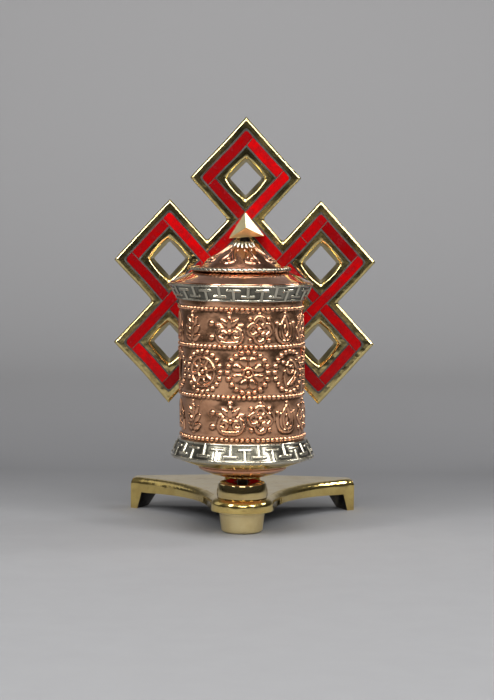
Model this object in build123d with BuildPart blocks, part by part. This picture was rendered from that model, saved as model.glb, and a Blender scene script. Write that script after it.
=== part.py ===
from build123d import *
import math
import os

# Tabletop prayer wheel. A copper drum with white-metal fret bands and a domed lid turns on an upright
# steel axle. The axle stands in a brass boss at the front of a tripod base and is held on top by a
# three-sided brass arm, which comes forward from an endless-knot plate with red stone inlay.
#
# Frame: millimetres, +Z up, origin where the drum's axis meets the table, at the centre of the front
# foot's underside. The front of the object faces -Y, so the knot plate stands behind the drum at +Y.

os.makedirs("parts", exist_ok=True)

# ---------------------------------------------------------------- driving dimensions

# base
foot_height = 10.1
foot_bottom_radius = 9.4
foot_top_radius = 10.7
lobe_radius = 14.4
base_top = 15.8
base_rear_y = 76.5
wing_underside_tip = 8.2
wing_top_tip = 15.0
wing_drop_x = 16.0
wing_thinning_x = 20.0
wing_end_x = 46.0
flank_middle = (31.0, 44.0)
flank_end = (51.2, 65.0)
corner_outer_x = 54.4
corner_outer_y = 66.8
rear_corner_cut = 2.4
edge_rounding = 2.9

# boss, stud and axle
boss_top = 22.9
boss_bottom_radius = 10.9
boss_middle_radius = 11.7
boss_top_radius = 10.5
dish_depth = 0.7
stud_radius = 2.0
stud_clearance_radius = 2.2
stud_bottom = 3.0
stud_top = 18.0
thread_depth_in_boss = 18.3
axle_radius = 2.4
axle_bore_radius = 2.45
axle_point_z = 17.6
axle_cone_top = 19.9
upper_pin_radius = 1.9
upper_pin_bore_radius = 1.95
upper_pin_top = 139.0
upper_bore_top = 139.8

# drum
drum_radius = 28.0
sheet = 0.8
drum_bottom = 35.6
drum_top = 113.0
band_foot_radius = 28.8
rim_radius = 32.4
lower_band_bottom = 35.2
lower_band_top = 43.3
upper_band_bottom = 106.4
upper_band_top = 113.7
closing_dish_bottom = 26.2
closing_dish_top = 30.6
closing_dish_flat_radius = 13.0
closing_dish_radius = 20.3
collar_bottom = 24.4
collar_radius = 6.8
neck_radius = 21.0
neck_foot = 118.3
neck_top = 119.1
lid_edge_radius = 21.8
lid_edge_z = 120.0
lid_cone_radius = 19.0
lid_cone_z = 120.9
lid_tip_radius = 5.2
lid_tip_z = 130.3
lid_rope_radius = 0.75
lid_collar_top = 132.3
lid_collar_radius = 5.6
lid_skirt_radius = 19.8
lid_skirt_bottom = 114.6

# mantra roll inside the drum
roll_bottom = 37.0
roll_top = 111.5
core_inner_radius = 2.6
core_outer_radius = 5.0
roll_radius = 19.0
wrap_thickness = 0.5
tie_thickness = 0.6
tie_width = 4.0
tie_heights = (56.0, 92.5)

# knot plate
knot_front_y = 38.0
knot_thickness = 6.0
knot_centre_z = 102.5
cell_half_width = 17.7
cell_half_height = 19.45
outer_margin = 6.25
window_margin = 7.6
window_front_margin = 5.95
front_bevel = 1.15
front_bevel_depth = 1.6
channel_width = 6.0
channel_depth = 1.8
inlay_width = 4.5
inlay_depth = 1.2
inlay_joint = 0.3
knot_foot_half_width = 9.0
knot_foot_depth = 8.0
knot_foot_top = 33.0
knot_screw_x = 6.0
knot_screw_radius = 1.5
knot_screw_clearance = 1.7
knot_screw_head_radius = 3.0
knot_screw_head_height = 1.7
knot_screw_top = 26.0

# arm
arm_bottom = 134.1
arm_ridge = 145.2
arm_half_width = 7.9
arm_front_y = -4.5
arm_apex_y = -9.5
arm_apex_z = 138.5
spigot_z = 138.4
spigot_radius = 3.2
spigot_hole_radius = 3.25
spigot_end_y = 43.4
arm_screw_radius = 1.5
arm_screw_depth = 14.0
arm_screw_head_radius = 3.4
arm_screw_head_height = 2.0
arm_washer_radius = 5.0
arm_washer_thickness = 0.8
slot_width = 0.9
slot_depth = 0.9

# ---------------------------------------------------------------- worked-out values

knot_back_y = knot_front_y + knot_thickness
knot_middle_y = knot_front_y + knot_thickness / 2
cell_side = math.hypot(cell_half_width, cell_half_height)
strand_pitch = 2 * cell_half_width * cell_half_height / cell_side
knot_screw_y = knot_front_y + knot_foot_depth / 2
knot_screw_places = [(-knot_screw_x, knot_screw_y), (knot_screw_x, knot_screw_y)]


def spun_sheet(upper_side, thickness):
    """Closed section of a shallow spun sheet from the points along its upper side."""
    lower_side = [(radius, height - thickness) for radius, height in reversed(upper_side)]
    return upper_side + lower_side


def mirrored(points):
    """The same outline on the other side of the YZ plane."""
    return [(-x, y) for x, y in reversed(points)]


def knot_point(p, q):
    """Point of the knot in the XZ plane. Falling strands lie at p = -1, 0, 1 and rising ones at q."""
    return ((p - q) * cell_half_width, knot_centre_z + (p + q) * cell_half_height)


def knot_box(p_low, p_high, q_low, q_high):
    """The four corners of a stretch of the knot that is bounded by its own two directions."""
    corners = [(p_low, q_low), (p_high, q_low), (p_high, q_high), (p_low, q_high)]
    return [knot_point(p, q) for p, q in corners]


def cell_outline(p, q, margin):
    """Outline of the unit cell that starts at (p, q), grown on every side by margin millimetres."""
    grow = margin / strand_pitch
    return knot_box(p - grow, p + 1 + grow, q - grow, q + 1 + grow)


# The ten cells of the endless knot, each by its lowest p and q: four in the middle, four at the sides,
# one on top and one at the foot.
knot_cells = [(-1, -1), (-1, 0), (0, -1), (0, 0)]
knot_cells += [(-1, 1), (-2, 0), (1, -1), (0, -2)]
knot_cells += [(1, 1), (-2, -2)]

# ---------------------------------------------------------------- stand

wing_corner = [
    flank_end,
    (corner_outer_x, corner_outer_y),
    (corner_outer_x, base_rear_y - rear_corner_cut),
    (corner_outer_x - rear_corner_cut, base_rear_y),
]

# The leg narrows towards the table, because its inner face slopes outwards.
leg_outer_side = [
    (corner_outer_x, corner_outer_y),
    (corner_outer_x, base_rear_y - rear_corner_cut),
    (corner_outer_x - rear_corner_cut, base_rear_y),
]
leg_at_table = [(51.2, 65.0), (51.9, 65.4), *leg_outer_side, (46.2, base_rear_y)]
leg_at_plate = [(48.6, 63.0), flank_end, *leg_outer_side, (39.8, base_rear_y)]

with BuildPart() as base_plate:
    with BuildSketch(Plane.XY.offset(wing_underside_tip)):
        with BuildLine():
            ThreePointArc((lobe_radius, 0), flank_middle, flank_end)
            Polyline(*wing_corner, *mirrored(wing_corner))
            ThreePointArc(*mirrored([(lobe_radius, 0), flank_middle, flank_end]))
            Line((-lobe_radius, 0), (lobe_radius, 0))
        make_face()
        Circle(lobe_radius)
    extrude(amount=base_top - wing_underside_tip)
    # The plate thins from the wing ends to the middle.
    with BuildSketch(Plane.XZ.offset(lobe_radius + 1)):
        Polygon(
            (-wing_end_x, 0),
            (wing_end_x, 0),
            (wing_end_x, wing_underside_tip),
            (wing_thinning_x, foot_height),
            (-wing_thinning_x, foot_height),
            (-wing_end_x, wing_underside_tip),
        )
    extrude(amount=-(base_rear_y + lobe_radius + 2), mode=Mode.SUBTRACT)
    # Its top falls a little towards the wing ends.
    for wing_side in (1, -1):
        with BuildSketch(Plane.XZ.offset(lobe_radius + 1)):
            Polygon(
                (wing_side * wing_drop_x, base_top),
                (wing_side * corner_outer_x, wing_top_tip),
                (wing_side * (corner_outer_x + 1), wing_top_tip),
                (wing_side * (corner_outer_x + 1), base_top + 1),
                (wing_side * wing_drop_x, base_top + 1),
            )
        extrude(amount=-(base_rear_y + lobe_radius + 2), mode=Mode.SUBTRACT)
    top_faces = base_plate.faces().filter_by(lambda face: face.normal_at().Z > 0.9)
    outer_edges = top_faces.edges().filter_by(
        lambda edge: abs(abs(edge.center().X) - wing_drop_x) > 0.01 or abs(edge.tangent_at(0.5).Y) < 0.99
    )
    fillet(outer_edges, radius=edge_rounding)
    for leg_side in (1, -1):
        with BuildSketch(Plane.XY):
            Polygon(*[(leg_side * x, y) for x, y in leg_at_table])
        with BuildSketch(Plane.XY.offset(foot_height)):
            Polygon(*[(leg_side * x, y) for x, y in leg_at_plate])
        loft(ruled=True)
    with Locations((0, 0, base_top)):
        Hole(stud_clearance_radius)
    with BuildSketch(Plane.XY.offset(base_top)):
        with Locations(*knot_screw_places):
            Circle(knot_screw_clearance)
    extrude(amount=-base_top, mode=Mode.SUBTRACT)
    with BuildSketch(Plane.XY.offset(foot_height)):
        with Locations(*knot_screw_places):
            Circle(knot_screw_head_radius + 0.1)
    extrude(amount=knot_screw_head_height, mode=Mode.SUBTRACT)
base_plate.part.label = "base_plate"
export_step(base_plate.part, "parts/base_plate.step")

with BuildPart() as front_foot:
    with BuildSketch(Plane.XZ):
        Polygon(
            (0, 0),
            (foot_bottom_radius - 0.9, 0),
            (foot_bottom_radius, 0.9),
            (foot_top_radius, foot_height - 0.5),
            (foot_top_radius - 0.4, foot_height),
            (0, foot_height),
        )
    revolve(axis=Axis.Z)
    with BuildSketch(Plane.XY.offset(foot_height)):
        Circle(stud_radius)
    extrude(amount=-(foot_height - stud_bottom), mode=Mode.SUBTRACT)
front_foot.part.label = "front_foot"
export_step(front_foot.part, "parts/front_foot.step")

with BuildPart() as pivot_boss:
    with BuildSketch(Plane.XZ):
        with BuildLine():
            Polyline((axle_bore_radius, base_top), (boss_bottom_radius, base_top))
            ThreePointArc(
                (boss_bottom_radius, base_top),
                (boss_middle_radius, base_top + 2.6),
                (boss_top_radius, boss_top - 0.4),
            )
            Polyline(
                (boss_top_radius, boss_top - 0.4),
                (boss_top_radius - 0.6, boss_top),
                (axle_bore_radius, boss_top - dish_depth),
                (axle_bore_radius, base_top),
            )
        make_face()
    revolve(axis=Axis.Z)
    # Below the running bore the boss is threaded on the stud.
    with BuildSketch(Plane.XY.offset(base_top)):
        Circle(axle_bore_radius + 0.5)
        Circle(stud_radius, mode=Mode.SUBTRACT)
    extrude(amount=thread_depth_in_boss - base_top)
pivot_boss.part.label = "pivot_boss"
export_step(pivot_boss.part, "parts/pivot_boss.step")

with BuildPart() as boss_stud:
    with BuildSketch(Plane.XZ):
        Polygon(
            (0, stud_bottom),
            (stud_radius, stud_bottom),
            (stud_radius, stud_top),
            (1.2, stud_top),
            (0, stud_top - 1.2),
        )
    revolve(axis=Axis.Z)
boss_stud.part.label = "boss_stud"
export_step(boss_stud.part, "parts/boss_stud.step")

with BuildPart() as knot_plate:
    for cell_p, cell_q in knot_cells:
        with BuildSketch(Plane.XZ.offset(-knot_back_y)):
            Polygon(*cell_outline(cell_p, cell_q, outer_margin))
        extrude(amount=knot_thickness - front_bevel_depth)
    for cell_p, cell_q in knot_cells:
        with BuildSketch(Plane.XZ.offset(-knot_front_y - front_bevel_depth)):
            Polygon(*cell_outline(cell_p, cell_q, outer_margin))
        with BuildSketch(Plane.XZ.offset(-knot_front_y)):
            Polygon(*cell_outline(cell_p, cell_q, outer_margin - front_bevel))
        loft(ruled=True)
    # The lowest corner is cut level where it meets the base.
    with BuildSketch(Plane.XY.offset(base_top)):
        with Locations((0, knot_middle_y)):
            Rectangle(2 * knot_foot_half_width, 2 * knot_thickness)
    extrude(amount=-base_top, mode=Mode.SUBTRACT)
    # Foot of the plate, which stands on the base and takes the two screws.
    with BuildSketch(Plane.XZ.offset(-knot_front_y)):
        Polygon(
            (-knot_foot_half_width, base_top),
            (knot_foot_half_width, base_top),
            (knot_foot_half_width - 3, knot_foot_top),
            (3 - knot_foot_half_width, knot_foot_top),
        )
    extrude(amount=-knot_foot_depth)
    for cell_p, cell_q in knot_cells:
        # Each window opens towards the front.
        with BuildSketch(Plane.XZ.offset(-knot_back_y)):
            Polygon(*cell_outline(cell_p, cell_q, -window_margin))
        with BuildSketch(Plane.XZ.offset(-knot_front_y)):
            Polygon(*cell_outline(cell_p, cell_q, -window_front_margin))
        loft(ruled=True, mode=Mode.SUBTRACT)
    with BuildSketch(Plane.XZ.offset(-knot_front_y)) as channel_sketch:
        for cell_p, cell_q in knot_cells:
            Polygon(*cell_outline(cell_p, cell_q, channel_width / 2))
        for cell_p, cell_q in knot_cells:
            Polygon(*cell_outline(cell_p, cell_q, -channel_width / 2), mode=Mode.SUBTRACT)
    extrude(amount=-channel_depth, mode=Mode.SUBTRACT)
    with BuildSketch(Plane.XZ.offset(-knot_front_y)):
        with Locations((0, spigot_z)):
            Circle(spigot_hole_radius)
    extrude(amount=-knot_thickness, mode=Mode.SUBTRACT)
    with BuildSketch(Plane.XY.offset(base_top)):
        with Locations(*knot_screw_places):
            Circle(knot_screw_radius)
    extrude(amount=knot_screw_top - base_top, mode=Mode.SUBTRACT)
knot_plate.part.label = "knot_plate"
export_step(knot_plate.part, "parts/knot_plate.step")

# Half the width of an inlay piece and the gap beside it, in units of the strand pitch.
half_inlay = inlay_width / 2 / strand_pitch
butt = half_inlay + inlay_joint / strand_pitch
joint = inlay_joint / 2 / strand_pitch


def falling(p, q_start, q_end):
    """Inlay piece along a falling strand, which has one p and runs over q."""
    return knot_box(p - half_inlay, p + half_inlay, q_start, q_end)


def rising(q, p_start, p_end):
    """Inlay piece along a rising strand, which has one q and runs over p."""
    return knot_box(p_start, p_end, q - half_inlay, q + half_inlay)


# A piece that turns a corner reaches past it by half its own width, and the next one butts against it.
inlay_pieces = {
    "inlay_rising_upper": [
        rising(1, 0.82 + joint, 2 + half_inlay),
        rising(1, butt, 0.82 - joint),
        rising(1, -2 - half_inlay, -butt),
    ],
    "inlay_rising_middle": [
        rising(0, 1.55 + joint, 2 + half_inlay),
        rising(0, 0.5 + joint, 1.55 - joint),
        rising(0, -0.5 + joint, 0.5 - joint),
        rising(0, -1.5 + joint, -0.5 - joint),
        rising(0, -2 - half_inlay, -1.5 - joint),
    ],
    "inlay_rising_lower": [
        rising(-1, 0.73 + joint, 2 + half_inlay),
        rising(-1, -0.5 + joint, 0.73 - joint),
        rising(-1, -2 + butt, -0.5 - joint),
    ],
    "inlay_falling_upper": [
        falling(1, 1 + butt, 2 - butt),
        falling(1, butt, 1 - butt),
        falling(1, -1 + butt, -butt),
        falling(1, -2 - half_inlay, -1 - butt),
    ],
    "inlay_falling_middle": [
        falling(0, 0.5 + joint, 2 + half_inlay),
        falling(0, butt, 0.5 - joint),
        falling(0, -1 + butt, -butt),
        falling(0, -2 - half_inlay, -1 - butt),
    ],
    "inlay_falling_lower": [
        falling(-1, 1 + butt, 2 + half_inlay),
        falling(-1, butt, 1 - butt),
        falling(-1, -1 + butt, -butt),
        falling(-1, -2 - half_inlay, -1 - butt),
    ],
    "inlay_side_ends": [
        rising(2, -1 + butt, -butt),
        falling(-2, butt, 1 - butt),
        falling(2, -1 + butt, -butt),
        rising(-2, butt, 1 - butt),
    ],
    "inlay_top_loop": [
        rising(2, 1 - half_inlay, 2 + half_inlay),
        falling(2, 1 + butt, 2 - butt),
    ],
    "inlay_foot_loop": [
        falling(-2, -2 - half_inlay, -1 - butt),
        rising(-2, -2 + butt, -1 - butt),
    ],
}

for node_name, outlines in inlay_pieces.items():
    with BuildPart() as inlay:
        with BuildSketch(Plane.XZ.offset(-knot_front_y)):
            for outline in outlines:
                Polygon(*outline)
            with Locations((0, spigot_z)):
                Circle(spigot_hole_radius, mode=Mode.SUBTRACT)
        extrude(amount=-inlay_depth)
    inlay.part.label = node_name
    export_step(inlay.part, "parts/" + node_name + ".step")

with BuildPart() as inlay_cement:
    with BuildSketch(Plane.XZ.offset(-knot_front_y)):
        add(channel_sketch.sketch_local)
        for outlines in inlay_pieces.values():
            for outline in outlines:
                Polygon(*outline, mode=Mode.SUBTRACT)
    extrude(amount=-inlay_depth)
    with BuildSketch(Plane.XZ.offset(-knot_front_y - inlay_depth)):
        add(channel_sketch.sketch_local)
    extrude(amount=inlay_depth - channel_depth)
    with BuildSketch(Plane.XZ.offset(-knot_front_y)):
        with Locations((0, spigot_z)):
            Circle(spigot_hole_radius)
    extrude(amount=-channel_depth, mode=Mode.SUBTRACT)
inlay_cement.part.label = "inlay_cement"
export_step(inlay_cement.part, "parts/inlay_cement.step")

with BuildPart() as knot_screws:
    with BuildSketch(Plane.XY.offset(foot_height)):
        with Locations(*knot_screw_places):
            Circle(knot_screw_head_radius)
    extrude(amount=knot_screw_head_height)
    with BuildSketch(Plane.XY.offset(foot_height + knot_screw_head_height)):
        with Locations(*knot_screw_places):
            Circle(knot_screw_radius)
    extrude(amount=knot_screw_top - foot_height - knot_screw_head_height)
    with BuildSketch(Plane.XY.offset(foot_height)):
        with Locations(*knot_screw_places):
            Rectangle(2 * knot_screw_head_radius, slot_width)
    extrude(amount=slot_depth, mode=Mode.SUBTRACT)
knot_screws.part.label = "knot_screws"
export_step(knot_screws.part, "parts/knot_screws.step")

arm_section = [(-arm_half_width, arm_bottom), (arm_half_width, arm_bottom), (0, arm_ridge)]

with BuildPart() as top_arm:
    with BuildSketch(Plane.XZ.offset(-arm_front_y)) as arm_front:
        Polygon(*arm_section)
    extrude(amount=arm_front_y - knot_front_y)
    # The front end is a three-sided point.
    loft(sections=[arm_front.sketch.faces()[0], Vertex(0, arm_apex_y, arm_apex_z)], ruled=True)
    with BuildSketch(Plane.XZ.offset(-knot_front_y)):
        with Locations((0, spigot_z)):
            Circle(spigot_radius)
    extrude(amount=knot_front_y - spigot_end_y)
    with BuildSketch(Plane.XZ.offset(-spigot_end_y)):
        with Locations((0, spigot_z)):
            Circle(arm_screw_radius)
    extrude(amount=arm_screw_depth, mode=Mode.SUBTRACT)
    with BuildSketch(Plane.XY.offset(arm_bottom)):
        Circle(upper_pin_bore_radius)
    extrude(amount=upper_bore_top - arm_bottom, mode=Mode.SUBTRACT)
top_arm.part.label = "top_arm"
export_step(top_arm.part, "parts/top_arm.step")

with BuildPart() as arm_washer:
    with BuildSketch(Plane.XZ.offset(-knot_back_y)):
        with Locations((0, spigot_z)):
            Circle(arm_washer_radius)
            Circle(arm_screw_radius, mode=Mode.SUBTRACT)
    extrude(amount=-arm_washer_thickness)
arm_washer.part.label = "arm_washer"
export_step(arm_washer.part, "parts/arm_washer.step")

screw_seat_y = knot_back_y + arm_washer_thickness
with BuildPart() as arm_screw:
    with BuildSketch(Plane.XZ.offset(-screw_seat_y)):
        with Locations((0, spigot_z)):
            Circle(arm_screw_radius)
    extrude(amount=screw_seat_y - spigot_end_y + arm_screw_depth - 1)
    with BuildSketch(Plane.XZ.offset(-screw_seat_y)):
        with Locations((0, spigot_z)):
            Circle(arm_screw_head_radius)
    extrude(amount=-arm_screw_head_height)
    with BuildSketch(Plane.XZ.offset(-screw_seat_y - arm_screw_head_height)):
        with Locations((0, spigot_z)):
            Rectangle(2 * arm_screw_head_radius, slot_width)
    extrude(amount=slot_depth, mode=Mode.SUBTRACT)
arm_screw.part.label = "arm_screw"
export_step(arm_screw.part, "parts/arm_screw.step")

# ---------------------------------------------------------------- drum

with BuildPart() as axle:
    with BuildSketch(Plane.XZ):
        Polygon(
            (0, axle_point_z),
            (axle_radius, axle_cone_top),
            (axle_radius, arm_bottom - 0.8),
            (upper_pin_radius, arm_bottom - 0.8),
            (upper_pin_radius, upper_pin_top - 0.5),
            (upper_pin_radius - 0.5, upper_pin_top),
            (0, upper_pin_top),
        )
    revolve(axis=Axis.Z)
axle.part.label = "axle"
export_step(axle.part, "parts/axle.step")

with BuildPart() as drum_collar:
    with BuildSketch(Plane.XZ):
        Polygon(
            (axle_radius, collar_bottom),
            (collar_radius - 0.5, collar_bottom),
            (collar_radius, collar_bottom + 0.5),
            (collar_radius, closing_dish_bottom - 0.4),
            (collar_radius - 0.4, closing_dish_bottom),
            (axle_radius, closing_dish_bottom),
        )
    revolve(axis=Axis.Z)
drum_collar.part.label = "drum_collar"
export_step(drum_collar.part, "parts/drum_collar.step")

with BuildPart() as bottom_dish:
    with BuildSketch(Plane.XZ):
        with BuildLine():
            Polyline((axle_radius, closing_dish_bottom), (closing_dish_flat_radius, closing_dish_bottom))
            ThreePointArc(
                (closing_dish_flat_radius, closing_dish_bottom),
                (closing_dish_flat_radius + 4.4, closing_dish_bottom + 1.5),
                (closing_dish_radius, closing_dish_top),
            )
            Line((closing_dish_radius, closing_dish_top), (closing_dish_radius - sheet, closing_dish_top))
            ThreePointArc(
                (closing_dish_radius - sheet, closing_dish_top),
                (closing_dish_flat_radius + 3.9, closing_dish_bottom + 2.2),
                (closing_dish_flat_radius, closing_dish_bottom + sheet),
            )
            Polyline(
                (closing_dish_flat_radius, closing_dish_bottom + sheet),
                (axle_radius, closing_dish_bottom + sheet),
                (axle_radius, closing_dish_bottom),
            )
        make_face()
    revolve(axis=Axis.Z)
bottom_dish.part.label = "bottom_dish"
export_step(bottom_dish.part, "parts/bottom_dish.step")

with BuildPart() as bottom_cone:
    with BuildSketch(Plane.XZ):
        Polygon(
            *spun_sheet(
                [
                    (closing_dish_radius - 1.6, closing_dish_top + sheet),
                    (closing_dish_radius, closing_dish_top + sheet),
                    (rim_radius - 1.6, lower_band_bottom - 0.1),
                ],
                sheet,
            )
        )
    revolve(axis=Axis.Z)
bottom_cone.part.label = "bottom_cone"
export_step(bottom_cone.part, "parts/bottom_cone.step")

with BuildPart() as bottom_fret_band:
    with BuildSketch(Plane.XZ):
        Polygon(
            (drum_radius, lower_band_top),
            (drum_radius, lower_band_top - 1.2),
            (rim_radius - 1.6, lower_band_bottom - 0.1),
            (rim_radius - 0.5, lower_band_bottom - 0.5),
            (rim_radius, lower_band_bottom),
            (rim_radius, lower_band_bottom + 0.9),
            (rim_radius - 0.6, lower_band_bottom + 1.3),
            (band_foot_radius + 0.2, lower_band_top - 0.7),
            (band_foot_radius, lower_band_top),
        )
    revolve(axis=Axis.Z)
bottom_fret_band.part.label = "bottom_fret_band"
export_step(bottom_fret_band.part, "parts/bottom_fret_band.step")

with BuildPart() as drum_shell:
    with BuildSketch(Plane.XY.offset(drum_bottom)):
        Circle(drum_radius)
        Circle(drum_radius - sheet, mode=Mode.SUBTRACT)
    extrude(amount=drum_top - drum_bottom)
drum_shell.part.label = "drum_shell"
export_step(drum_shell.part, "parts/drum_shell.step")

with BuildPart() as top_fret_band:
    with BuildSketch(Plane.XZ):
        Polygon(
            (drum_radius, upper_band_bottom),
            (band_foot_radius, upper_band_bottom),
            (band_foot_radius + 0.2, upper_band_bottom + 0.7),
            (rim_radius - 0.6, upper_band_top - 1.0),
            (rim_radius, upper_band_top - 0.7),
            (rim_radius, upper_band_top),
            (rim_radius - 1.2, upper_band_top),
            (drum_radius, upper_band_bottom + 1.2),
        )
    revolve(axis=Axis.Z)
top_fret_band.part.label = "top_fret_band"
export_step(top_fret_band.part, "parts/top_fret_band.step")

with BuildPart() as shoulder_disc:
    with BuildSketch(Plane.XZ):
        Polygon(
            (neck_radius - sheet, neck_top),
            (neck_radius, neck_top),
            (neck_radius + 0.2, neck_foot + 0.2),
            (rim_radius - 0.5, upper_band_top + 0.4),
            (rim_radius - 0.5, upper_band_top),
            (rim_radius - 1.4, upper_band_top),
            (neck_radius - sheet, neck_foot - 0.4),
        )
    revolve(axis=Axis.Z)
shoulder_disc.part.label = "shoulder_disc"
export_step(shoulder_disc.part, "parts/shoulder_disc.step")

with BuildPart() as lid_cone:
    with BuildSketch(Plane.XZ):
        with BuildLine():
            ThreePointArc((lid_tip_radius, lid_tip_z), (11.2, 126.3), (lid_cone_radius, lid_cone_z))
            Polyline(
                (lid_cone_radius, lid_cone_z),
                (lid_edge_radius, lid_edge_z + 0.2),
                (lid_edge_radius, lid_edge_z - 0.5),
                (lid_cone_radius, lid_cone_z - sheet),
            )
            ThreePointArc(
                (lid_cone_radius, lid_cone_z - sheet),
                (11.0, 125.5),
                (lid_tip_radius - 0.5, lid_tip_z - sheet),
            )
            Polyline(
                (lid_tip_radius - 0.5, lid_tip_z - sheet),
                (axle_radius, lid_tip_z - sheet),
                (axle_radius, lid_tip_z),
                (lid_tip_radius, lid_tip_z),
            )
        make_face()
    revolve(axis=Axis.Z)
lid_cone.part.label = "lid_cone"
export_step(lid_cone.part, "parts/lid_cone.step")

with BuildPart() as lid_rope_rim:
    with BuildSketch(Plane.XZ):
        with Locations((lid_edge_radius + 0.1, lid_edge_z - 0.15)):
            Circle(lid_rope_radius)
    revolve(axis=Axis.Z)
    with BuildSketch(Plane.XZ):
        Polygon(
            (lid_edge_radius - 1.2, lid_edge_z + 1.0),
            (lid_edge_radius, lid_edge_z + 0.2),
            (lid_edge_radius, lid_edge_z - 0.5),
            (lid_edge_radius - 1.2, lid_edge_z - 0.5),
        )
    revolve(axis=Axis.Z, mode=Mode.SUBTRACT)
lid_rope_rim.part.label = "lid_rope_rim"
export_step(lid_rope_rim.part, "parts/lid_rope_rim.step")

with BuildPart() as lid_collar:
    with BuildSketch(Plane.XZ):
        Polygon(
            (axle_radius, lid_tip_z),
            (lid_tip_radius, lid_tip_z),
            (lid_collar_radius, lid_tip_z + 0.1),
            (lid_collar_radius - 0.6, lid_collar_top - 0.7),
            (lid_collar_radius - 1.3, lid_collar_top),
            (axle_radius, lid_collar_top),
        )
    revolve(axis=Axis.Z)
lid_collar.part.label = "lid_collar"
export_step(lid_collar.part, "parts/lid_collar.step")

with BuildPart() as lid_skirt:
    with BuildSketch(Plane.XY.offset(lid_skirt_bottom)):
        Circle(lid_skirt_radius)
        Circle(lid_skirt_radius - sheet, mode=Mode.SUBTRACT)
    extrude(amount=lid_edge_z - 0.4 - lid_skirt_bottom)
lid_skirt.part.label = "lid_skirt"
export_step(lid_skirt.part, "parts/lid_skirt.step")

with BuildPart() as core_tube:
    with BuildSketch(Plane.XY.offset(roll_bottom - 2)):
        Circle(core_outer_radius)
        Circle(core_inner_radius, mode=Mode.SUBTRACT)
    extrude(amount=roll_top - roll_bottom + 4)
core_tube.part.label = "core_tube"
export_step(core_tube.part, "parts/core_tube.step")

with BuildPart() as mantra_roll:
    with BuildSketch(Plane.XY.offset(roll_bottom)):
        Circle(roll_radius)
        Circle(core_outer_radius, mode=Mode.SUBTRACT)
    extrude(amount=roll_top - roll_bottom)
mantra_roll.part.label = "mantra_roll"
export_step(mantra_roll.part, "parts/mantra_roll.step")

with BuildPart() as roll_wrap:
    with BuildSketch(Plane.XY.offset(roll_bottom)):
        Circle(roll_radius + wrap_thickness)
        Circle(roll_radius, mode=Mode.SUBTRACT)
    extrude(amount=roll_top - roll_bottom)
roll_wrap.part.label = "roll_wrap"
export_step(roll_wrap.part, "parts/roll_wrap.step")

with BuildPart() as roll_ties:
    for tie_height in tie_heights:
        with BuildSketch(Plane.XY.offset(tie_height)):
            Circle(roll_radius + wrap_thickness + tie_thickness)
            Circle(roll_radius + wrap_thickness, mode=Mode.SUBTRACT)
        extrude(amount=tie_width)
roll_ties.part.label = "roll_ties"
export_step(roll_ties.part, "parts/roll_ties.step")
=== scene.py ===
import math
from math import cos, hypot, radians, sin

import bmesh
import bpy
import numpy as np
from mathutils import Matrix, Vector
from mathutils.geometry import tessellate_polygon


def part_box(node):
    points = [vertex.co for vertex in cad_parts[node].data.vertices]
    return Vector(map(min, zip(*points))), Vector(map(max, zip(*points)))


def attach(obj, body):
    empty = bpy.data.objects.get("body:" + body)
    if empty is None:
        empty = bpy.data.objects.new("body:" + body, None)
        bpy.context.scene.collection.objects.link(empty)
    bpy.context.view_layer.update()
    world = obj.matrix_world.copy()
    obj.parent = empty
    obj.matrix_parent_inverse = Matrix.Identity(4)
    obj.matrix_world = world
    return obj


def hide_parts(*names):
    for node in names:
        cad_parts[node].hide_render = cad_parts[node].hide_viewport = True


# Looks of a tabletop prayer wheel: an embossed copper drum with white-metal fret bands and a conical lid,
# which turns between a brass tripod base and a brass arm in front of an inlaid endless-knot plate.
# Profiles and patterns are in millimetres and are turned into metres where a mesh is made.

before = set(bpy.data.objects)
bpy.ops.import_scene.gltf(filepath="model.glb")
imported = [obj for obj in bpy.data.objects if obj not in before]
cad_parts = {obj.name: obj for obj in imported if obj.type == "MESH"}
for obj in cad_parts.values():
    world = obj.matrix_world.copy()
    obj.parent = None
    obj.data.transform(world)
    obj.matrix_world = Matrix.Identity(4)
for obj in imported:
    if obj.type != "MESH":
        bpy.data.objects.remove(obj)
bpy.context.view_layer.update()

scene = bpy.context.scene
MM = 0.001
RANDOM = np.random.default_rng(8)
TAU = 2 * math.pi

# ---- sizes read from the frame


def span(node):
    """Largest radius, bottom and top in millimetres of a round CAD node on the drum's axis."""
    low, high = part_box(node)
    return high.x / MM, low.z / MM, high.z / MM


drum_radius, drum_bottom, drum_top = span("drum_shell")
rim_radius, lower_band_bottom, lower_band_top = span("bottom_fret_band")
_, upper_band_bottom, upper_band_top = span("top_fret_band")
sheet = 0.8
band_foot_radius = drum_radius + sheet
lid_radius, lid_bottom, lid_top = span("lid_cone")
collar_radius, _, collar_top = span("lid_collar")
axle_radius, _, _ = span("axle")
# How far the drum leans to the left, at its lid's edge and at its collar.
drum_lean, collar_lean = 1.7, 1.0

# ---- curves for outlines and patterns


def spiral(center, outer, inner, start, end, points=40):
    """Points of a spiral that winds in from the outer to the inner radius, with angles in degrees."""
    turns = np.radians(np.linspace(start, end, points))
    radii = np.linspace(outer, inner, points)
    return [(center[0] + r * cos(t), center[1] + r * sin(t)) for t, r in zip(turns, radii)]


def arc(center, radius, start, end, points=18):
    return spiral(center, radius, radius, start, end, points)


def ring(radius):
    return arc((0, 0), radius, 0, 360, 33)


def bow(start, pull, end, points=16):
    """Points of a curve from start to end that bends towards pull."""
    steps = np.linspace(0, 1, points)
    return [
        tuple((1 - t) ** 2 * a + 2 * t * (1 - t) * b + t * t * c for a, b, c in zip(start, pull, end))
        for t in steps
    ]


def both_sides(strokes):
    """Strokes together with their mirror images."""
    return strokes + [[(-x, y) for x, y in stroke] for stroke in strokes]


def both_dots(dots):
    return dots + [(-x, y, r) for x, y, r in dots]


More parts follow.
